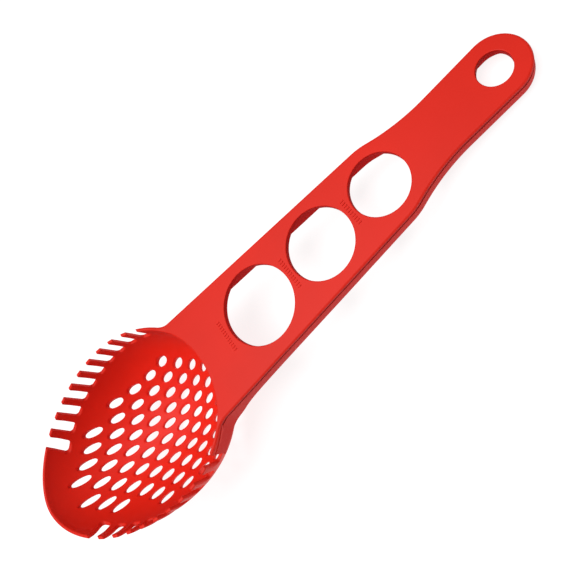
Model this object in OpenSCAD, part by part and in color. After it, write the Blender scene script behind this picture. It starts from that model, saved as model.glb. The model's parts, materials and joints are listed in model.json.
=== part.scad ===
// Pasta spoon: a perforated, toothed scoop with spaghetti-measuring holes in its handle.
// One injection moulding, drawn as named regions that meet face to face:
// the bowl, the two rows of teeth on its rim, and the handle.
//
// Moulding frame: origin at the centre of the largest measuring hole on the handle's flat face,
// +X along the handle to the hanging hole, +Z out of the face. lie_down() turns that frame
// into the resting pose: the bowl's bottom and the tip of the grip touch the plane z = 0.

/* [Measuring holes] */
// Diameter of the largest measuring hole, nearest the bowl
large_hole_d = 36; // [32:0.5:38]
// Diameter of the middle measuring hole
middle_hole_d = 32; // [26:0.5:33]
// Diameter of the smallest measuring hole
small_hole_d = 27; // [20:0.5:28]
// Spacing from the largest hole to the middle one
pitch_large_middle = 38.5; // [37:0.5:42]
// Spacing from the middle hole to the smallest one
pitch_middle_small = 34.2; // [33:0.1:38]

/* [Grip] */
// Width of the narrow grip
grip_w = 26.2; // [22:0.2:30]
// How far the centre of the grip's round end lies beyond the hanging hole
end_shift = 1.1; // [0:0.1:3]
// Spacing from the smallest measuring hole to the hanging hole
pitch_small_hang = 60; // [52:1:80]
// Diameter of the hanging hole
hang_hole_d = 14; // [8:0.5:16]

/* [Handle plate] */
// Half width of the flat face where it meets the bowl
shoulder_half_w = 27.3; // [24:0.1:30]
// Half width of the flat face at the smallest measuring hole
waist_half_w = 19.1; // [17:0.1:22]
// Thickness of the flat top plate
plate_t = 3; // [2:0.1:4]
// Thickness of the skirt that hangs from the plate's edge
skirt_t = 3.5; // [3.1:0.1:4]
// Depth of the skirt at the tip of the grip
skirt_tip = 9.5; // [7:0.1:12]
// Depth of the skirt at the middle measuring hole
skirt_mid = 10.8; // [8:0.1:14]
// Depth of the skirt where it runs into the bowl
skirt_bowl = 14.3; // [11:0.1:18]
// Radius of the skirt's rounded lower edge
skirt_round = 3; // [1:0.1:3]
// Radius of the hollow corner between the handle and the shoulder of the bowl
shoulder_r = 10; // [5:1:16]

/* [Bowl] */
// Distance from the largest measuring hole back to the bowl's widest section
bowl_back = 85.1; // [84:0.1:90]
// Half width of the bowl at the rim, to the middle of its wall
bowl_half_w = 42.7; // [40:0.1:48]
// Reach of the rim from the widest section to the front tip
bowl_front = 69; // [62:0.1:75]
// Reach of the rim from the widest section to the handle
bowl_rear = 47.3; // [46:0.1:50]
// Depth of the bowl below the handle's face
bowl_depth = 40.8; // [34:0.1:46]
// Thickness of the bowl's wall
bowl_t = 1.7; // [1.4:0.1:2.4]
// Highest rise of the rim above the handle's face, half way along the teeth
rim_rise = 4.9; // [0:0.1:7]
// How far the rim comes down again from there to the front tip
rim_drop = 0.7; // [0:0.1:2]

/* [Teeth] */
// Distance from the largest measuring hole back to the first slot
first_slot = 61.3; // [61:0.1:64]
// Spacing of the slots along the handle's axis
slot_pitch = 8.28; // [8:0.01:8.4]
// Width of a slot
slot_w = 5.1; // [4:0.1:5.6]
// Depth of the first slot's root below the handle's face
first_root = 8.5; // [6:0.1:12]
// Depth of the last slot's root below the handle's face
last_root = 7.6; // [5:0.1:12]
// Radius of the corners at a slot's root
slot_corner_r = 1.8; // [1:0.1:2]

/* [Drain holes] */
// Length of an oval drain hole, along the handle's axis
drain_l = 8.1; // [5:0.1:8.2]
// Width of a drain hole
drain_w = 3.5; // [3:0.1:5]
// Step of the staggered grid of holes, along the handle's axis and across it
drain_step = 5.86; // [5.8:0.01:5.95]

/* [Hidden] */
over = 20;                      // how far a cutter reaches past what it cuts

handle_red = [0.84, 0.20, 0.17];
bowl_red = [0.82, 0.06, 0.05];

// Places along the handle
middle_x = pitch_large_middle;
small_x = middle_x + pitch_middle_small;
hang_x = small_x + pitch_small_hang;
grip_r = grip_w / 2;
end_x = hang_x + end_shift;     // centre of the half circle that ends the grip
tip_x = end_x + grip_r;
shoulder_x = -44;
round_rows = [for (a = [0 : 18 : 90]) skirt_round * [1 - cos(a), sin(a)]];    // inset and drop
skirt_spread = 9.3;             // how far the deeper skirt at the shoulder reaches along the handle

// The bowl's level curves: an ellipse-like front and a rounder rear, which shrink with depth.
// shrink = (1 - depth^power)^(1 / root), with one pair for each direction
side_curve = [2.16, 1.87];
front_curve = [1.48, 1.72];
rear_curve = [2.28, 2.01];
front_plan = 1.86;              // exponent of the front's plan curve, 2 is an ellipse
rear_plan = 2.08;               // the same for the rear
rim_start = 45.5;               // where the rim leaves the plane of the face
rim_peak = 102.5;               // where it is highest
around = 48;                    // points in one level curve
levels = 9;                     // level curves between the rim and the bottom

// Slots and teeth
slots = 10;
slot_x = [for (k = [0 : slots - 1]) -first_slot - k * slot_pitch];
function root_z(x) = -first_root
    - (last_root - first_root) * (x - slot_x[0]) / (slot_x[slots - 1] - slot_x[0]);

// Drain holes sit on a staggered grid: hole (i, j) is i + j steps from the grid's start
// and j - i steps to the left of the centre line.
grid_start = -161;
grid_size = 10;
function drilled(i, j) =
    i + j >= 3 && i + j <= 18 && abs(i - j) <= 5
    && !(abs(i - j) == 5 && i + j == 7)     // the two front corners of the field are rounded
    && !(i == 5 && j == 1);                 // one hole is left out beside the right front slot

function shrink(depth, curve) = pow(max(0, 1 - pow(depth, curve[0])), 1 / curve[1]);
function clamp01(t) = min(1, max(0, t));
function rim_z(x) =
    let (
        up = clamp01((-rim_start - x) / (rim_peak - rim_start)),
        down = clamp01((-rim_peak - x) / (bowl_back + bowl_front - rim_peak))
    )
    rim_rise * (1 - pow(1 - up, 2)) - rim_drop * pow(down, 1.5);

// One point of the level curve at a depth from 0, the rim, to 1, the bottom.
// side is the offset from the middle of the wall, and turn the angle around the bowl.
function bowl_point(depth, side, turn) =
    let (
        c = cos(turn), s = sin(turn),
        power = 2 / (c > 0 ? rear_plan : front_plan),
        reach = c > 0 ? (bowl_rear + side) * shrink(depth, rear_curve)
                      : (bowl_front + side) * shrink(depth, front_curve),
        half = (bowl_half_w + side) * shrink(depth, side_curve),
        x = -bowl_back + sign(c) * reach * pow(abs(c), power),
        y = sign(s) * half * pow(abs(s), power),
        top = rim_z(x)
    )
    [x, y, top - (top + bowl_depth + side) * depth];

function ring(depth, side) = [for (k = [0 : around - 1]) bowl_point(depth, side, 360 * k / around)];
function level(i) = sin(90 * i / levels);
function bowl_rings(side) = [for (i = [0 : levels - 1]) each ring(level(i), side)];

// Triangles between two rings that start at points a and b, and a fan to one point
function band(a, b, count = around) = [for (k = [0 : count - 1])
    let (n = (k + 1) % count) each [[a + k, a + n, b + k], [a + n, b + n, b + k]]];
function fan(a, tip, count = around) = [for (k = [0 : count - 1]) [a + k, a + (k + 1) % count, tip]];
function flip(faces) = [for (f = faces) [f[0], f[2], f[1]]];

// Resting pose: the tilt at which the bowl's bottom and the skirt's tip are equally low
function lowered(p, tilt) = -p[0] * sin(tilt) + p[2] * cos(tilt);
function bowl_low(tilt) = min([for (depth = [0.7 : 0.005 : 1]) each
    [for (turn = [0, 180]) lowered(bowl_point(depth, bowl_t / 2, turn), tilt)]]);
function tip_low(tilt) = min([for (r = round_rows)
    lowered([tip_x - r[0], 0, skirt_round - skirt_tip - r[1]], tilt)]);
function rest_angle(low, high, steps) =
    let (mid = (low + high) / 2)
    steps == 0 ? mid
    : bowl_low(mid) < tip_low(mid) ? rest_angle(mid, high, steps - 1)
    : rest_angle(low, mid, steps - 1);
rest_tilt = rest_angle(0, 30, 24);
front_tip = bowl_point(0, bowl_t / 2, 180);
centre_x = (tip_x * cos(rest_tilt)
    + front_tip[0] * cos(rest_tilt) + front_tip[2] * sin(rest_tilt)) / 2;

module lie_down() {
    translate([-centre_x, 0, -tip_low(rest_tilt)]) rotate([0, rest_tilt, 0]) children();
}

// The bowl's wall without holes: outer surface, rim and inner surface in one skin
module bowl_wall() {
    outer = bowl_rings(bowl_t / 2);
    inner = bowl_rings(-bowl_t / 2);
    n = len(outer);
    bottom_out = bowl_point(1, bowl_t / 2, 0);
    bottom_in = bowl_point(1, -bowl_t / 2, 0);
    skin = [for (i = [0 : levels - 2]) each band(i * around, (i + 1) * around)];
    polyhedron(
        concat(outer, inner, [bottom_out, bottom_in]),
        concat(
            skin,
            fan((levels - 1) * around, 2 * n),
            flip([for (f = skin) [for (v = f) v + n]]),
            flip(fan(n + (levels - 1) * around, 2 * n + 1)),
            band(n, 0)
        )
    );
}

// Everything inside the bowl's outer surface, continued upward above the rim
module bowl_core() {
    rings = bowl_rings(bowl_t / 2);
    lid = [for (p = ring(0, bowl_t / 2)) [p[0], p[1], over]];
    polyhedron(
        concat(lid, rings, [bowl_point(1, bowl_t / 2, 0), [-bowl_back, 0, over]]),
        concat(
            [for (i = [0 : levels - 1]) each band(i * around, (i + 1) * around)],
            fan(levels * around, (levels + 1) * around),
            flip(fan(0, (levels + 1) * around + 1))
        )
    );
}

// A slot through both side walls: open at the top, with two rounded corners at its root
module slot_cut(k) {
    reach = slot_w / 2 - slot_corner_r;
    hull() for (dx = [-reach, reach], z = [root_z(slot_x[k]) + slot_corner_r, over])
        translate([slot_x[k] + dx, 0, z])
            rotate([90, 0, 0]) cylinder(r = slot_corner_r, h = 3 * bowl_half_w, center = true, $fn = 16);
}

// The space that the teeth of one side fill: side is 1 on the left and -1 on the right
module tooth_block(side) {
    ends = [slot_x[0], slot_x[slots - 1]];
    translate([0, side > 0 ? 2 * bowl_half_w : 0, 0]) rotate([90, 0, 0])
        linear_extrude(2 * bowl_half_w) polygon([
            [ends[0], root_z(ends[0]) + slot_corner_r], [ends[0], over],
            [ends[1], over], [ends[1], root_z(ends[1]) + slot_corner_r]
        ]);
}

module drain_cuts() {
    for (i = [1 : grid_size], j = [1 : grid_size]) if (drilled(i, j))
        translate([grid_start + (i + j) * drain_step, (j - i) * drain_step, -bowl_depth - over])
            scale([drain_l, drain_w, 1]) cylinder(d = 1, h = bowl_depth + over, $fn = 12);
}

module bowl() {
    color(bowl_red) lie_down() difference() {
        bowl_wall();
        for (k = [0 : slots - 1]) slot_cut(k);
        for (side = [-1, 1]) tooth_block(side);
        drain_cuts();
    }
}

module teeth(side) {
    color(bowl_red) lie_down() difference() {
        intersection() {
            bowl_wall();
            tooth_block(side);
        }
        for (k = [0 : slots - 1]) slot_cut(k);
    }
}

module left_teeth() {
    teeth(1);
}

module right_teeth() {
    teeth(-1);
}

// Points of an arc, and the S curve by which the wide plate narrows to the grip
function arc(centre, r, from, to, steps) = [for (i = [0 : steps])
    let (a = from + (to - from) * i / steps) [centre[0] + r * cos(a), centre[1] + r * sin(a)]];
taper = atan((shoulder_half_w - waist_half_w) / (small_x - shoulder_x));
neck_slope = 18.5;              // steepest angle of the S curve
outward_r = 30;                 // its radius where it leaves the plate
outward_run = outward_r * (sin(neck_slope) - sin(taper));
outward_fall = outward_r * (cos(taper) - cos(neck_slope));
inward_fall = waist_half_w - grip_r - outward_fall;
inward_r = inward_fall / (1 - cos(neck_slope));
inward_x = small_x + outward_run + inward_r * sin(neck_slope);
function tail(points) = [for (i = [1 : len(points) - 1]) points[i]];
edge = concat(
    [for (x = [shoulder_x - 34 : 14 : small_x - 10])
        [x, shoulder_half_w - (x - shoulder_x) * tan(taper)]],
    arc([small_x - outward_r * sin(taper), waist_half_w - outward_r * cos(taper)],
        outward_r, 90 - taper, 90 - neck_slope, 8),
    tail(arc([inward_x, grip_r + inward_r], inward_r, 270 - neck_slope, 270, 10)),
    arc([end_x, 0], grip_r, 90, 0, 18)
);

module plate_outline() {
    polygon(concat(edge, [for (i = [len(edge) - 2 : -1 : 0]) [edge[i][0], -edge[i][1]]]));
}

// The shoulder follows the bowl's outer rim from the handle to the first slot
module face_outline() {
    rim_end = slot_x[0] + slot_w / 2;
    intersection() {
        offset(r = -shoulder_r) offset(r = shoulder_r, $fn = 48) {
            plate_outline();
            polygon([for (p = ring(0, bowl_t / 2)) [p[0], p[1]]]);
        }
        translate([rim_end, -2 * bowl_half_w]) square([tip_x - rim_end + over, 4 * bowl_half_w]);
    }
}

// Side views, from the first slot to beyond the tip: the top follows the rim over the shoulder,
// and the skirt is shallow along the grip and deepest where it meets the bowl
function skirt_depth(x) =
    x > middle_x ? skirt_mid + (skirt_tip - skirt_mid) * (x - middle_x) / (tip_x - middle_x)
    : skirt_mid + (skirt_bowl - skirt_mid) / (1 + pow((x - shoulder_x) / skirt_spread, 2));
run = concat([for (i = [0 : 24]) slot_x[0] + (middle_x - slot_x[0]) * i / 24], [tip_x, tip_x + over]);
function top_line(below) = [for (x = run) [x, rim_z(x) - below]];
function deep_line() = [[tip_x + over, -2 * over], [slot_x[0], -2 * over]];
module side_view(points) {
    rotate([90, 0, 0]) linear_extrude(4 * bowl_half_w, center = true) polygon(points);
}

// What lies above the skirt's rounded lower edge: rings around the plate's outline, well outside it
// down to the rounding and then drawn in. Each point faces the middle of one piece of the outline.
edge_gap = 0.05;                // how far outside the wall the rounding starts
edge_reach = 30;                // how far the rings above it stand outside
edge_rows = concat([[-edge_reach, 0], [-edge_gap, 0]], tail(round_rows));
function edge_point(i, row, hand) =
    let (along = edge[i + 1] - edge[i], middle = (edge[i + 1] + edge[i]) / 2, n = norm(along))
    [middle[0] + row[0] * along[1] / n, hand * (middle[1] - row[0] * along[0] / n),
        skirt_round - skirt_depth(min(middle[0], tip_x)) - row[1]];
function edge_ring(row) = concat(
    [for (i = [0 : len(edge) - 2]) edge_point(i, row, -1)],
    [for (i = [len(edge) - 2 : -1 : 0]) edge_point(i, row, 1)]
);
module above_edge() {
    count = 2 * (len(edge) - 1);
    lid = [for (p = edge_ring(edge_rows[0])) [p[0], p[1], over]];
    rows = len(edge_rows);
    polyhedron(
        concat(lid, [for (r = edge_rows) each edge_ring(r)],
            [[small_x, 0, over], [small_x, 0, -skirt_mid]]),
        concat(
            flip(fan(0, (rows + 1) * count, count)),
            [for (i = [0 : rows - 1]) each band(i * count, (i + 1) * count, count)],
            fan(rows * count, (rows + 1) * count + 1, count)
        )
    );
}

module hole(x, d) {
    translate([x, 0, -over]) cylinder(d = d, h = 2 * over, $fn = 96);
}

module handle() {
    color(handle_red) lie_down() difference() {
        intersection() {
            translate([0, 0, -over]) linear_extrude(2 * over) face_outline();
            side_view(concat(top_line(0), deep_line()));
            above_edge();
        }
        intersection() {
            translate([0, 0, -2 * over]) linear_extrude(2 * over) offset(r = -skirt_t) face_outline();
            side_view(concat(top_line(plate_t), deep_line()));
        }
        bowl_core();
        hole(0, large_hole_d);
        hole(middle_x, middle_hole_d);
        hole(small_x, small_hole_d);
        hole(hang_x, hang_hole_d);
    }
}

bowl();
left_teeth();
right_teeth();
handle();
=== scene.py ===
"""Pasta spoon: one red moulding, a perforated and toothed bowl on a flat handle with measuring holes.

The shape is worked out in millimetres in the handle's own frame (origin at the centre of the largest
measuring hole on the flat face, +X to the hanging hole, +Z out of the face) and then placed by the
frame's mounts. The two pieces meet along the bowl's outer wall and look like one moulding.
"""
import json
import math

import bmesh
import bpy
import numpy as np
from mathutils import Matrix, Vector


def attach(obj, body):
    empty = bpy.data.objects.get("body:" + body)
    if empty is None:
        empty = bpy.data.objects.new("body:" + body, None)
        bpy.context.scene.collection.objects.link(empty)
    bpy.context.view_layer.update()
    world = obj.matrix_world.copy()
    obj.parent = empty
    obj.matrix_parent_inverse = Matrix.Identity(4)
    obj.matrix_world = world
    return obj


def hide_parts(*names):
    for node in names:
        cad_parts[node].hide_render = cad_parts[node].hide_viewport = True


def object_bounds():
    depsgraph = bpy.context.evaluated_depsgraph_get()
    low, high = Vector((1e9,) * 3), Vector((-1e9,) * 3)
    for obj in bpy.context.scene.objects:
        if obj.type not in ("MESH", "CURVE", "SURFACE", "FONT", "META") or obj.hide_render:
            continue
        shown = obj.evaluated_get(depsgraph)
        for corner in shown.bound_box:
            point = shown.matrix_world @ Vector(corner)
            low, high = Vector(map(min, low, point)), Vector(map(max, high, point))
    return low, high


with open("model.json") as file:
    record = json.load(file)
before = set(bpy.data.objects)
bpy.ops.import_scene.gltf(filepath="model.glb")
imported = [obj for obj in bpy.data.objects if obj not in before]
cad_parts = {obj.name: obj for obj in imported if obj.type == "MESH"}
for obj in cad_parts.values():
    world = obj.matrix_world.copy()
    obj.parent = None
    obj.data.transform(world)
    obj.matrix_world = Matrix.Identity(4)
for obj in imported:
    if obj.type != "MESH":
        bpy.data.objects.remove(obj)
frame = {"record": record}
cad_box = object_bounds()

MM = 0.001

# ---------------------------------------------------------------- the frame's own places and sizes
mounts = {m["name"]: m for m in frame["record"]["mounts"]}
HOLES = ("large_measure", "middle_measure", "small_measure", "hang_hole")
face_up = Vector(mounts["large_measure"]["axis"]).normalized()
plate_t = mounts["large_measure"]["dims"]["length_mm"]
large_at = Vector(mounts["large_measure"]["pos_m"])
handle_along = (Vector(mounts["hang_hole"]["pos_m"]) - large_at).normalized()
handle_left = face_up.cross(handle_along)
face_origin = large_at + face_up * (plate_t / 2 * MM)
place = Matrix((handle_along, handle_left, face_up)).transposed().to_4x4()
place.translation = face_origin
place = place @ Matrix.Scale(MM, 4)
hole_x = {n: (Vector(mounts[n]["pos_m"]) - large_at).dot(handle_along) / MM for n in HOLES}
hole_r = {n: mounts[n]["dims"]["r_mm"] for n in HOLES}

# ---------------------------------------------------------------- shape, mm
shoulder_x, shoulder_half_w = -44, 27.3     # flat face where it meets the bowl
waist_half_w = 19.1                         # flat face at the smallest measuring hole
grip_r, end_shift = 13.1, 1.1               # half the grip's width; its round end past the hole
shoulder_r = 10                             # hollow corner between handle and bowl
skirt_t, skirt_tip, skirt_mid, skirt_bowl, skirt_spread = 3.5, 9.5, 10.8, 15.5, 7.5
skirt_round = 3
neck_slope, outward_r = 18.5, 30            # the S curve from the wide plate to the grip

bowl_back, bowl_half_w = 85.1, 42.7
bowl_front, bowl_rear, bowl_depth, bowl_t = 69, 47.3, 40.8, 1.7
side_curve, front_curve, rear_curve = (2.16, 1.87), (1.48, 1.72), (2.28, 2.01)
front_plan, rear_plan = 1.86, 2.08
rim_start, rim_peak, rim_rise, rim_drop = 45.5, 102.5, 4.9, 0.7

first_slot, slot_pitch, slot_count = 61.3, 8.28, 10
slot_w, first_root, last_root, slot_corner_r = 5.1, 8.5, 7.6, 1.8
drain_l, drain_w, drain_step, grid_start = 8.1, 3.5, 5.86, -161

# Small radii that only the finished moulding shows
face_r = 1.1            # rim of the flat face
wall_gain = 0.7         # the skirt's wall is this much thicker at the bowl than on the grip
skirt_in = 0.1          # the skirt stands this far inside the face's rim
groove_in, groove_top, groove_low = 0.3, -1.6, -3    # shallow groove between rim and skirt
rim_r = 0.65            # both edges of the bowl's rim
lip_r = 0.5             # lips of the measuring holes
drain_lip = 0.4         # edges of a drain hole
slot_lip = 0.3          # edges of a slot
tooth_r = 0.7           # corners of a tooth's tip
mark_step, mark_l, mark_w, mark_h = 1.4, 1.9, 0.65, 0.28     # raised marks beside a measuring hole
# How many marks stand in a row, and how far the row is from the hole's edge
PORTION_MARKS = {"large_measure": (12, 3), "middle_measure": (12, 2.3), "small_measure": (10, 2.3)}
NEAR, FAR = 20, 300     # how far cutters reach past what they cut
PAST_WALL, PAST_TOP = 0.15, 0.12    # how far a cutter's flare runs on outside a wall or a top face

# Material slots of a piece's faces. The side-wall slot is a rougher red darkened as painted shade; the
# bore and lower-edge slots are painted shade.
FACE, HOLLOW, SIDE_WALL_SHADE, BORE_AND_CHANNEL_SHADE, GROOVE_AND_UNDER_SHADE = range(5)
LOOKS_UP = 0.45         # a face whose normal rises more than this looks up; handle faces below it get the painted-shade slots

hang_x = hole_x["hang_hole"]
small_x = hole_x["small_measure"]
middle_x = hole_x["middle_measure"]
end_x = hang_x + end_shift
tip_x = end_x + grip_r
slot_x = [-first_slot - k * slot_pitch for k in range(slot_count)]
rim_end = slot_x[0] + slot_w / 2


# ---------------------------------------------------------------- the bowl's surfaces
def rim_z(x):
    """Height of the rim above the face's plane: up over the shoulder, a little down to the front."""
    up = np.clip((-rim_start - x) / (rim_peak - rim_start), 0, 1)
    down = np.clip((-rim_peak - x) / (bowl_back + bowl_front - rim_peak), 0, 1)
    return rim_rise * (1 - (1 - up) ** 2) - rim_drop * down ** 1.5


def shrink(u, curve):
    """How much of a level's reach is left at u, from 1 at the rim to 0 at the bottom."""
    return (1 - np.clip(u, 0, 1) ** curve[0]) ** (1 / curve[1])


def ring(turn, side, u):
    """Points of the bowl's surface at an offset from the middle of its wall; u is 0 at the rim."""
    c, s = np.cos(turn), np.sin(turn)
    front = c <= 0
    power = np.where(front, 2 / front_plan, 2 / rear_plan)
    reach = np.where(front, (bowl_front + side) * shrink(u, front_curve),
                     (bowl_rear + side) * shrink(u, rear_curve))
    half = (bowl_half_w + side) * shrink(u, side_curve)
    x = -bowl_back + np.sign(c) * reach * np.abs(c) ** power
    y = np.sign(s) * half * np.abs(s) ** power
    top = rim_z(x)
    return np.stack([x, y, top - (top + bowl_depth + side) * u], axis=-1)


def ring_at(turn, side, below):
    """The same at a height below the rim."""
    u = np.zeros_like(turn)
    for _ in range(4):
        x = ring(turn, side, u)[:, 0]
        u = np.clip(below / (rim_z(x) + bowl_depth + side), 0, 1)
    points = ring(turn, side, u)
    points[:, 2] = rim_z(points[:, 0]) - below
    return points


def half_width(x, z, side):
    """The bowl's half width at a place along it and a height."""
    top = rim_z(x)
    u = np.clip((top - z) / (top + bowl_depth + side), 0, 1)
    from_middle = x + bowl_back
    front = from_middle <= 0
    m = np.where(front, front_plan, rear_plan)
    reach = np.where(front, (bowl_front + side) * shrink(u, front_curve),
                     (bowl_rear + side) * shrink(u, rear_curve))
    t = np.clip(np.abs(from_middle) / np.maximum(reach, 1e-6), 0, 1)
    return (bowl_half_w + side) * shrink(u, side_curve) * (1 - t ** m) ** (1 / m)


def height(x, y, side):
    """The bowl surface's height over a point of the plan, found by halving."""
    low = np.full_like(x, -bowl_depth - side)
    high = rim_z(x)
    for _ in range(44):
        mid = (low + high) / 2
        wide = half_width(x, mid, side) > np.abs(y)
        high, low = np.where(wide, mid, high), np.where(wide, low, mid)
    return (low + high) / 2


# ---------------------------------------------------------------- mesh helpers
def new_object(name, points, faces, material=FACE):
    """A mesh object whose faces all look outward."""
    mesh = bpy.data.meshes.new(name)
    mesh.from_pydata([tuple(map(float, p)) for p in points], [], faces)
    mesh.update()
    volume = 0.0
    for f in mesh.polygons:
        v = [mesh.vertices[i].co for i in f.vertices]
        for i in range(1, len(v) - 1):
            volume += v[0].dot(v[i].cross(v[i + 1]))
    if volume < 0:
        mesh.flip_normals()
    for f in mesh.polygons:
        f.material_index = material
    obj = bpy.data.objects.new(name, mesh)
    bpy.context.scene.collection.objects.link(obj)
    return obj


def loft(rings, flat_caps=False):
    """Points and faces of a closed skin through rings of equally many points."""
    n = len(rings[0])
    points = np.concatenate(rings)
    faces = []
    for i in range(len(rings) - 1):
        a, b = i * n, (i + 1) * n
        faces += [(a + k, a + (k + 1) % n, b + (k + 1) % n, b + k) for k in range(n)]
    last = (len(rings) - 1) * n
    if flat_caps:
        faces += [tuple(range(n - 1, -1, -1)), tuple(range(last, last + n))]
    else:
        points = np.concatenate([points, [rings[0].mean(axis=0)], [rings[-1].mean(axis=0)]])
        ends = len(points)
        faces += [((k + 1) % n, k, ends - 2) for k in range(n)]
        faces += [(last + k, last + (k + 1) % n, ends - 1) for k in range(n)]
    return points, faces


def merge(parts):
    """Several closed skins as one list of points and one of faces."""
    points, faces, start = [], [], 0
    for p, f in parts:
        points.append(p)
        faces += [tuple(i + start for i in face) for face in f]
        start += len(p)
    return np.concatenate(points), faces


def combine(obj, tool, how, keep_tool=False):
    """Apply a Boolean to an object's mesh at once. The other object goes, unless it is kept."""
    mod = obj.modifiers.new("cut", "BOOLEAN")
    mod.solver = "MANIFOLD"
    mod.operation = how
    mod.object = tool
    graph = bpy.context.evaluated_depsgraph_get()
    result = bpy.data.meshes.new_from_object(obj.evaluated_get(graph))
    obj.modifiers.clear()
    old, obj.data = obj.data, result
    bpy.data.meshes.remove(old)
    if not keep_tool:
        bpy.data.objects.remove(tool)


def block(low, high):
    """A box between two opposite corners."""
    (x0, y0, z0), (x1, y1, z1) = low, high
    bottom = np.array([(x0, y0, z0), (x1, y0, z0), (x1, y1, z0), (x0, y1, z0)], float)
    top = bottom + (0, 0, z1 - z0)
    return new_object("block", *loft([bottom, top], flat_caps=True))


# ---------------------------------------------------------------- bowl
AROUND, LEVELS = 216, 44
TURN_START = 0.004      # radians, so that none of the skin's points lies on the plane of symmetry
turns = np.linspace(0, 2 * math.pi, AROUND, endpoint=False) + TURN_START


def bowl_skin(side):
    """Rings from near the bottom up to where the rim's rounding starts."""
    rings = []
    for k in range(LEVELS):
        u = math.cos(math.pi / 2 * (k + 0.35) / LEVELS)
        points = ring(turns, side, np.full(AROUND, u))
        if (rim_z(points[:, 0]) - points[:, 2]).min() > 1.5 * rim_r:
            rings.append(points)
    return rings


def bowl_body():
    """The bowl filled up, with the outer edge of its rim rounded."""
    side = bowl_t / 2
    rings = bowl_skin(side)
    for a in np.linspace(0, math.pi / 2, 6):
        rings.append(ring_at(turns, side - rim_r * (1 - math.cos(a)), rim_r * (1 - math.sin(a))))
    rings.append(ring_at(turns, -side - 1, 0))
    for points in rings:                     # behind the first slot the handle's plate takes over
        behind = points[:, 0] > slot_x[0]
        points[behind, 2] = np.minimum(points[behind, 2], -plate_t / 2)
    p, f = loft(rings)
    p[-2] = (-bowl_back, 0, -bowl_depth - side)
    p[-1] = (-bowl_back, 0, -plate_t)
    return new_object("bowl_body", p, f)


def bowl_hollow():
    """The space inside the bowl, which flares where it meets the rim and the handle's face."""
    side = -bowl_t / 2
    rings = bowl_skin(side)
    for a in np.linspace(0, math.radians(80), 6):
        rings.append(ring_at(turns, side + rim_r * (1 - math.cos(a)), rim_r * (1 - math.sin(a))))
    above = ring_at(turns, side + 2 * rim_r, 0)
    for lift in (PAST_TOP, NEAR):
        rings.append(above + (0, 0, lift))
    p, f = loft(rings)
    p[-2] = (-bowl_back, 0, -bowl_depth - side)
    return new_object("bowl_hollow", p, f, material=HOLLOW)


def bowl_region():
    """Everything inside the bowl's outer surface, a hair larger, with no lid."""
    side = bowl_t / 2 + 0.02
    rings = bowl_skin(side) + [ring_at(turns, side, 0)]
    rings.append(rings[-1] + (0, 0, NEAR))
    p, f = loft(rings)
    p[-2] = (-bowl_back, 0, -bowl_depth - side)
    return new_object("bowl_region", p, f)


def drilled(i, j):
    """Which places of the staggered grid have a drain hole."""
    return (3 <= i + j <= 18 and abs(i - j) <= 5
            and not (abs(i - j) == 5 and i + j == 7) and not (i == 5 and j == 1))


def drain_tool(cx, cy):
    """An oval cutter whose ends flare along the bowl's inner and outer surfaces."""
    n = 40
    a = np.linspace(0, 2 * math.pi, n, endpoint=False)
    oval = np.stack([drain_l / 2 * np.cos(a), drain_w / 2 * np.sin(a)], axis=-1)
    way = np.stack([np.cos(a) * drain_w, np.sin(a) * drain_l], axis=-1)
    way /= np.linalg.norm(way, axis=1)[:, None]

    def plan(out):
        return np.array([cx, cy]) + oval + way * np.reshape(out, (-1, 1))

    def row(out, z):
        return np.column_stack([plan(out) * np.ones((n, 1)), z * np.ones(n)])

    rings = []
    for side, sign in ((-bowl_t / 2, 1), (bowl_t / 2, -1)):
        z = height(*plan(0).T, side)
        slope = (height(*plan(0.3).T, side) - z) / 0.3
        long = np.sqrt(1 + slope ** 2)
        edge, edge_z = drain_lip / long, z + drain_lip * slope / long
        out = np.maximum(edge + (0.25 - sign * PAST_WALL * slope) / long, 0.05)
        out_z = edge_z + (0.25 * slope + sign * PAST_WALL) / long
        end_z = NEAR if sign > 0 else -bowl_depth - NEAR
        half = [row(out, end_z), row(out, out_z)]
        for t in np.linspace(0, 1, 5):
            half.append(row((1 - t) ** 2 * edge,
                            (1 - t) ** 2 * edge_z + 2 * t * (1 - t) * z
                            + t ** 2 * (z - sign * drain_lip)))
        rings += half if sign > 0 else half[::-1]
    return loft(rings)


def slot_tool(k, hand):
    """A cutter through one side wall, widened a little where it leaves the wall and at the tips."""
    x0 = slot_x[k]
    root = first_root + (last_root - first_root) * k / (slot_count - 1)

    def profile(grow):
        pts = []
        half, r = slot_w / 2 + grow, slot_corner_r + grow
        flat = half - r
        floor = -root - grow
        for sign in (1, -1):
            edge_x = x0 + sign * half
            top = float(rim_z(np.array(edge_x)))
            tips = [(edge_x + sign * 2 * tooth_r, NEAR), (edge_x + sign * 2 * tooth_r, top + PAST_WALL)]
            for a in np.linspace(math.radians(78), 0, 5):
                tips.append((edge_x + sign * tooth_r * (1 - math.cos(a)),
                             top - tooth_r * (1 - math.sin(a))))
            for a in np.linspace(0, math.pi / 2, 9):
                tips.append((x0 + sign * (flat + r * math.cos(a)), floor + r - r * math.sin(a)))
            pts += tips if sign > 0 else tips[::-1]
        return np.array(pts)

    rings = []
    t = bowl_t / 2
    for side, grow in ((-t - 1.5, slot_lip * 2), (-t - PAST_WALL, slot_lip * 1.35), (-t, slot_lip),
                       (-t + slot_lip * 0.3, slot_lip * 0.3), (-t + slot_lip, 0),
                       (t - slot_lip, 0), (t - slot_lip * 0.3, slot_lip * 0.3), (t, slot_lip),
                       (t + PAST_WALL, slot_lip * 1.35), (t + 2.5, slot_lip * 2)):
        p = profile(grow)
        y = half_width(p[:, 0], p[:, 1], side)
        rings.append(np.stack([p[:, 0], hand * y, p[:, 1]], axis=-1))
    return loft(rings, flat_caps=True)


# ---------------------------------------------------------------- handle
OUTLINE_PAST, SQUARE_END = 3.2, 10      # how far outline and handle reach past the first slot's edge
GROOVE_STEP = 0.1                       # short slope at the top and bottom of the groove


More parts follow.
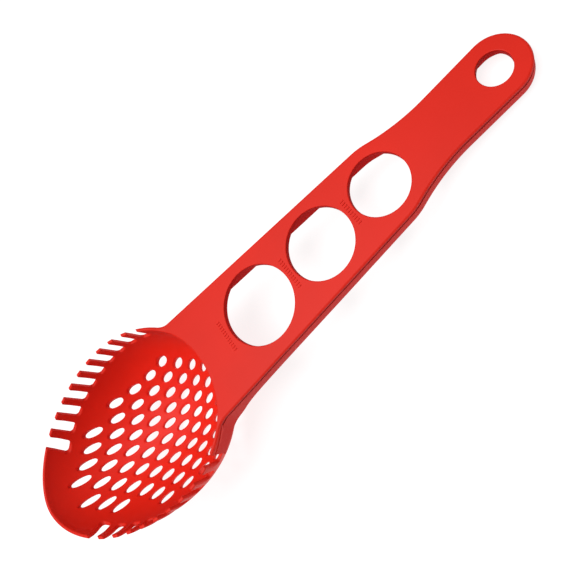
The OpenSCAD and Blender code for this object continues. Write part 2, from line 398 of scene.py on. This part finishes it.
def arc(centre, r, start, end, steps):
    """Points along an arc between two angles in degrees."""
    a = np.radians(np.linspace(start, end, steps + 1))
    return np.stack([centre[0] + r * np.cos(a), centre[1] + r * np.sin(a)], axis=-1)


def handle_outline():
    """The skirt's outer edge in plan, from the bowl's left side round the tip to its right side."""
    taper = math.atan((shoulder_half_w - waist_half_w) / (small_x - shoulder_x))
    steep = math.radians(neck_slope)
    fall = outward_r * (math.cos(taper) - math.cos(steep))
    inward_r = (waist_half_w - grip_r - fall) / (1 - math.cos(steep))
    inward_x = small_x + outward_r * (math.sin(steep) - math.sin(taper)) + inward_r * math.sin(steep)

    def rim(turn):
        return ring(np.array([turn]), bowl_t / 2, np.zeros(1))[0, :2]

    def rim_normal(turn):
        along = rim(turn + 0.001) - rim(turn - 0.001)
        n = np.array([along[1], -along[0]])
        return n / np.linalg.norm(n)

    line_normal = np.array([math.sin(taper), math.cos(taper)])
    line_at = np.array([shoulder_x, shoulder_half_w])
    low, high = 0.2, 1.5                      # where a ball of shoulder_r touches rim and edge
    for _ in range(60):
        mid = (low + high) / 2
        ball = rim(mid) + shoulder_r * rim_normal(mid)
        low, high = (mid, high) if (ball - line_at) @ line_normal < shoulder_r else (low, mid)
    ball = rim(low) + shoulder_r * rim_normal(low)
    n = rim_normal(low)
    start = math.degrees(math.atan2(-n[1], -n[0]))
    end = math.degrees(math.atan2(-line_normal[1], -line_normal[0]))
    first_x = rim_end - OUTLINE_PAST
    first = math.acos(((first_x + bowl_back) / (bowl_rear + bowl_t / 2)) ** (rear_plan / 2))
    rim_part = np.array([rim(t) for t in np.linspace(first, low, 26)[:-1]])
    hollow = arc(ball, shoulder_r, start, end, 18)
    spread = arc((small_x - outward_r * math.sin(taper), waist_half_w - outward_r * math.cos(taper)),
                 outward_r, 90 - math.degrees(taper), 90 - neck_slope, 12)
    straight = np.linspace(hollow[-1], spread[0], 40)[1:-1]
    gather = arc((inward_x, grip_r + inward_r), inward_r, 270 - neck_slope, 270, 20)[1:]
    grip = np.linspace(gather[-1], (end_x, grip_r), 14)[1:-1]
    half = np.concatenate([rim_part, hollow, straight, spread, gather, grip,
                           arc((end_x, 0), grip_r, 90, 0, 30)])
    return np.concatenate([half, (half[:-1] * (1, -1))[::-1]])


def skirt_depth(x):
    """How far the skirt reaches below the face: deepest at the bowl, shallowest at the tip."""
    bowlward = skirt_mid + (skirt_bowl - skirt_mid) / (1 + ((x - shoulder_x) / skirt_spread) ** 2)
    tipward = skirt_mid + (skirt_tip - skirt_mid) * (x - middle_x) / (tip_x - middle_x)
    return np.where(x > middle_x, tipward, bowlward)


def handle_body():
    """Plate and skirt, a cup open downward: one skin over the top, round the skirt and back under."""
    line = handle_outline()
    along = np.gradient(line, axis=0)
    along[0], along[-1] = line[1] - line[0], line[-1] - line[-2]
    along /= np.linalg.norm(along, axis=1)[:, None]
    outward = np.stack([-along[:, 1], along[:, 0]], axis=-1)
    depth = skirt_depth(line[:, 0]) + rim_z(line[:, 0])

    def row(inset, z):
        """The outline drawn in by inset. Its square end past the first slot is cut off later."""
        z, inset = z * np.ones(len(line)), inset * np.ones(len(line))
        p = line - outward * inset[:, None]
        back_x, back_y = rim_end - SQUARE_END + inset[0], line[0, 1] - inset[0]
        return np.concatenate([[(back_x, back_y, z[0])], np.column_stack([p, z]),
                               [(back_x, -back_y, z[-1])]])

    rings = []
    for a in np.radians(np.linspace(0, 90, 9)):
        rings.append(row(face_r * (1 - math.sin(a)), -face_r * (1 - math.cos(a))))
    for inset, z in ((0, groove_top + GROOVE_STEP), (groove_in, groove_top), (groove_in, groove_low)):
        rings.append(row(inset, z))
    skirt_top = groove_low - GROOVE_STEP
    for part in np.linspace(0, 1, 7):
        rings.append(row(skirt_in, skirt_top - (depth - skirt_round + skirt_top) * part))
    for a in np.radians(np.linspace(15, 90, 6)):
        rings.append(row(skirt_in + skirt_round * (1 - math.cos(a)),
                         -depth + skirt_round * (1 - math.sin(a))))
    inner_r, under_r = 0.25, 1.0
    wall = skirt_t + wall_gain * np.clip((small_x - line[:, 0]) / (small_x - shoulder_x), 0, 1)
    for a in np.radians(np.linspace(0, 90, 6)):
        rings.append(row(wall - inner_r * (1 - math.sin(a)),
                         -depth + inner_r * (1 - math.cos(a))))
    for a in np.radians(np.linspace(0, 90, 6)):
        rings.append(row(wall + 0.1 + under_r * (1 - math.cos(a)),
                         -plate_t - under_r * (1 - math.sin(a))))
    return new_object("handle_body", *loft(rings, flat_caps=True))


def lift_shoulders(obj):
    """Shear the shoulders upward so that they follow the rim from the flat face to the first slot."""
    mesh = bmesh.new()
    mesh.from_mesh(obj.data)
    for x in np.linspace(-rim_start, rim_end - 2, 14):
        bmesh.ops.bisect_plane(mesh, geom=mesh.verts[:] + mesh.edges[:] + mesh.faces[:], dist=1e-4,
                               plane_co=(x, 0, 0), plane_no=(1, 0, 0))
    for v in mesh.verts:
        v.co.z += float(rim_z(v.co.x))
    mesh.to_mesh(obj.data)
    mesh.free()


def bore_tool(x, r):
    """A cutter for one of the handle's round holes, with a rounded lip at the top and the bottom."""
    n = 144
    a = np.linspace(0, 2 * math.pi, n, endpoint=False)

    def row(radius, z):
        return np.stack([x + radius * np.cos(a), radius * np.sin(a), np.full(n, z)], axis=-1)

    rings = [row(r + 2 * lip_r, NEAR), row(r + 2 * lip_r, PAST_TOP)]
    for t in np.radians(np.linspace(80, 0, 6)):
        rings.append(row(r + lip_r * (1 - math.cos(t)), -lip_r * (1 - math.sin(t))))
    under = 0.25
    rings += [row(r, -plate_t + under), row(r + under * 0.3, -plate_t + under * 0.3),
              row(r + under, -plate_t), row(r + under * 1.4, -plate_t - PAST_WALL),
              row(r + under * 1.4, -NEAR)]
    return loft(rings, flat_caps=True)


def portion_marks(name, count, gap):
    """A straight row of low raised bars beside a measuring hole, on the side of the bowl."""
    parts = []
    for k in range(count):
        middle = np.array([hole_x[name] - hole_r[name] - gap, (k - (count - 1) / 2) * mark_step])
        rings = []
        for z, shrink_by in ((-0.5, 0), (0.02, 0), (mark_h * 0.7, 0.06), (mark_h, 0.16)):
            half_l, half_w = mark_l / 2 - shrink_by, mark_w / 2 - shrink_by
            rings.append(np.array([(middle[0] + a * half_l, middle[1] + b * half_w, z)
                                   for a, b in ((-1, 1), (-1, -1), (1, -1), (1, 1))]))
        parts.append(loft(rings, flat_caps=True))
    return parts


# ---------------------------------------------------------------- the moulding
spoon = bowl_body()
handle = handle_body()
lift_shoulders(handle)
combine(handle, block((-FAR, -FAR, -FAR), (rim_end, FAR, FAR)), "DIFFERENCE")
combine(spoon, handle, "UNION")
combine(spoon, bowl_hollow(), "DIFFERENCE")
drains = [drain_tool(grid_start + (i + j) * drain_step, (j - i) * drain_step)
          for i in range(1, 11) for j in range(1, 11) if drilled(i, j)]
combine(spoon, new_object("drains", *merge(drains)), "DIFFERENCE")
slots = [slot_tool(k, hand) for k in range(slot_count) for hand in (1, -1)]
for points, faces in slots:
    combine(spoon, new_object("slot", points, faces), "DIFFERENCE")
combine(spoon, new_object("bores", *merge([bore_tool(hole_x[n], hole_r[n]) for n in HOLES])),
        "DIFFERENCE")

for name, (count, gap) in PORTION_MARKS.items():
    combine(spoon, new_object("marks", *merge(portion_marks(name, count, gap))), "UNION")

behind = block((slot_x[0], -FAR, -FAR), (FAR, FAR, NEAR - 1))
combine(behind, bowl_region(), "DIFFERENCE")
spoon_bowl = bpy.data.objects.new("spoon_bowl", spoon.data.copy())
spoon_handle = bpy.data.objects.new("spoon_handle", spoon.data.copy())
for piece in (spoon_bowl, spoon_handle):
    bpy.context.scene.collection.objects.link(piece)
combine(spoon_bowl, behind, "DIFFERENCE", keep_tool=True)
combine(spoon_handle, behind, "INTERSECT")
bpy.data.objects.remove(spoon)


# ---------------------------------------------------------------- materials
def plastic(name, colour, shine, roughness, spread, grain, relief):
    """Moulded plastic: soft clouds of tone and roughness, and a fine grain."""
    mat = bpy.data.materials.new(name)
    mat.use_nodes = True
    nodes, links = mat.node_tree.nodes, mat.node_tree.links
    shader = nodes["Principled BSDF"]
    shader.inputs["IOR"].default_value = 1.5
    shader.inputs["Specular IOR Level"].default_value = shine
    place_node = nodes.new("ShaderNodeTexCoord")
    cloud = nodes.new("ShaderNodeTexNoise")
    cloud.inputs["Scale"].default_value = 22
    cloud.inputs["Detail"].default_value = 3
    tone = nodes.new("ShaderNodeValToRGB")
    tone.color_ramp.elements[0].position, tone.color_ramp.elements[1].position = 0.3, 0.7
    tone.color_ramp.elements[0].color = [c * 0.94 for c in colour] + [1]
    tone.color_ramp.elements[1].color = [min(1, c * 1.05) for c in colour] + [1]
    rough = nodes.new("ShaderNodeMapRange")
    rough.inputs["To Min"].default_value = roughness - spread
    rough.inputs["To Max"].default_value = roughness + spread
    fine = nodes.new("ShaderNodeTexNoise")
    fine.inputs["Scale"].default_value = grain
    fine.inputs["Detail"].default_value = 4
    bump = nodes.new("ShaderNodeBump")
    bump.inputs["Strength"].default_value = relief
    bump.inputs["Distance"].default_value = 0.00005
    links.new(place_node.outputs["Object"], cloud.inputs["Vector"])
    links.new(place_node.outputs["Object"], fine.inputs["Vector"])
    links.new(cloud.outputs["Fac"], tone.inputs["Fac"])
    links.new(tone.outputs["Color"], shader.inputs["Base Color"])
    links.new(cloud.outputs["Fac"], rough.inputs["Value"])
    links.new(rough.outputs["Result"], shader.inputs["Roughness"])
    links.new(fine.outputs["Fac"], bump.inputs["Height"])
    links.new(bump.outputs["Normal"], shader.inputs["Normal"])
    return mat


satin = plastic("satin_red", (0.8, 0.02, 0.008), 0.2, 0.5, 0.03, 2600, 0.5)
gloss = plastic("gloss_red", (0.95, 0.002, 0.001), 0.06, 0.26, 0.02, 900, 0.08)
matte_and_shade = plastic("matte_and_shade_red", (0.7, 0.02, 0.014), 0.16, 0.62, 0.03, 3200, 0.8)     # side walls: rougher finish, and a darker red as painted shade
inner = plastic("bore_and_channel_shade_red", (0.52, 0.003, 0.0015), 0.04, 0.6, 0.03, 3200, 0.8)   # bores, channel: darker red as painted shade in the hollows
edge = plastic("groove_and_under_shade_red", (0.3, 0.004, 0.003), 0.08, 0.6, 0.03, 3200, 0.8)       # groove, lower edge: near-black red as painted shade in the crease and underneath


def wall_shade_slot(face):
    """Painted-shade material slot of a handle face that doesn't look up: darker reds by place and
    facing. The channel counts as a bore.
    """
    c, n = face.center, face.normal
    if any(math.hypot(c.x - hole_x[k], c.y) < hole_r[k] + lip_r + 0.1 for k in HOLES):
        return BORE_AND_CHANNEL_SHADE
    if groove_low - 0.05 < c.z - rim_z(c.x) < groove_top + 0.15 and c.y * n.y > 0:
        return GROOVE_AND_UNDER_SHADE
    if c.y * n.y < -0.3 * abs(c.y) or (n.z < -0.9 and c.z - rim_z(c.x) > -plate_t - 2):
        return BORE_AND_CHANNEL_SHADE
    return GROOVE_AND_UNDER_SHADE if n.z < -0.2 else SIDE_WALL_SHADE


for piece in (spoon_bowl, spoon_handle):
    mesh = piece.data
    mesh.materials.clear()
    for material in (satin, gloss, matte_and_shade, inner, edge):     # in the order of the slots
        mesh.materials.append(material)
    for face in mesh.polygons:
        # Handle faces that don't look up take darker reds: painted shade by facing and place
        if piece == spoon_handle and face.normal.z < LOOKS_UP and face.material_index == FACE:
            face.material_index = wall_shade_slot(face)
    mesh.transform(place)
    mesh.shade_smooth()
    mesh.set_sharp_from_angle(angle=math.radians(32))
    mod = piece.modifiers.new("normals", "WEIGHTED_NORMAL")
    mod.keep_sharp = True
    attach(piece, "root")
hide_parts("bowl", "left_teeth", "right_teeth")
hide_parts("handle")

# ---------------------------------------------------------------- stage, camera and light
bpy.ops.mesh.primitive_plane_add(size=3, location=(0, 0, cad_box[0][2]))
floor = bpy.context.object
floor.name = "floor"
paper = bpy.data.materials.new("paper")
paper.use_nodes = True
sheet = paper.node_tree.nodes["Principled BSDF"]
sheet.inputs["Base Color"].default_value = (0.26, 0.26, 0.26, 1)
sheet.inputs["Roughness"].default_value = 0.9
sheet.inputs["Emission Color"].default_value = (1, 1, 1, 1)    # a light table, so shadows stay faint
sheet.inputs["Emission Strength"].default_value = 0.86
floor.data.materials.append(paper)

camera = bpy.data.objects.new("camera", bpy.data.cameras.new("camera"))
bpy.context.scene.collection.objects.link(camera)
camera.data.lens = 36.8
camera.data.sensor_width = 36
# Eye, aim and the picture's up direction, in the handle's own frame
eye = place @ Vector((84.4, -106.4, 219.3))
looks_at = place @ Vector((13.3, -1.1, -7.3))
picture_up = place.to_3x3() @ Vector((0.6775, 0.7249, 0.1245))
back = (eye - looks_at).normalized()
right = picture_up.cross(back).normalized()
camera.matrix_world = Matrix((right, back.cross(right), back)).transposed().to_4x4()
camera.location = eye
bpy.context.scene.camera = camera

world = bpy.data.worlds.new("studio")
bpy.context.scene.world = world
world.use_nodes = True
world.node_tree.nodes["Background"].inputs["Color"].default_value = (1, 1, 1, 1)
world.node_tree.nodes["Background"].inputs["Strength"].default_value = 0.12


def softbox(name, at, aim_at, size, power):
    """A rectangular area light, in metres and watts."""
    lamp = bpy.data.lights.new(name, "AREA")
    lamp.shape = "RECTANGLE"
    lamp.size, lamp.size_y = size
    lamp.energy = power
    obj = bpy.data.objects.new(name, lamp)
    obj.location = at
    obj.rotation_euler = (Vector(aim_at) - Vector(at)).to_track_quat("-Z", "Y").to_euler()
    bpy.context.scene.collection.objects.link(obj)


softbox("key", (-0.1, 0.05, 1.1), (-0.05, 0, 0), (0.9, 0.9), 12.5)
bpy.context.scene.view_settings.view_transform = "Standard"
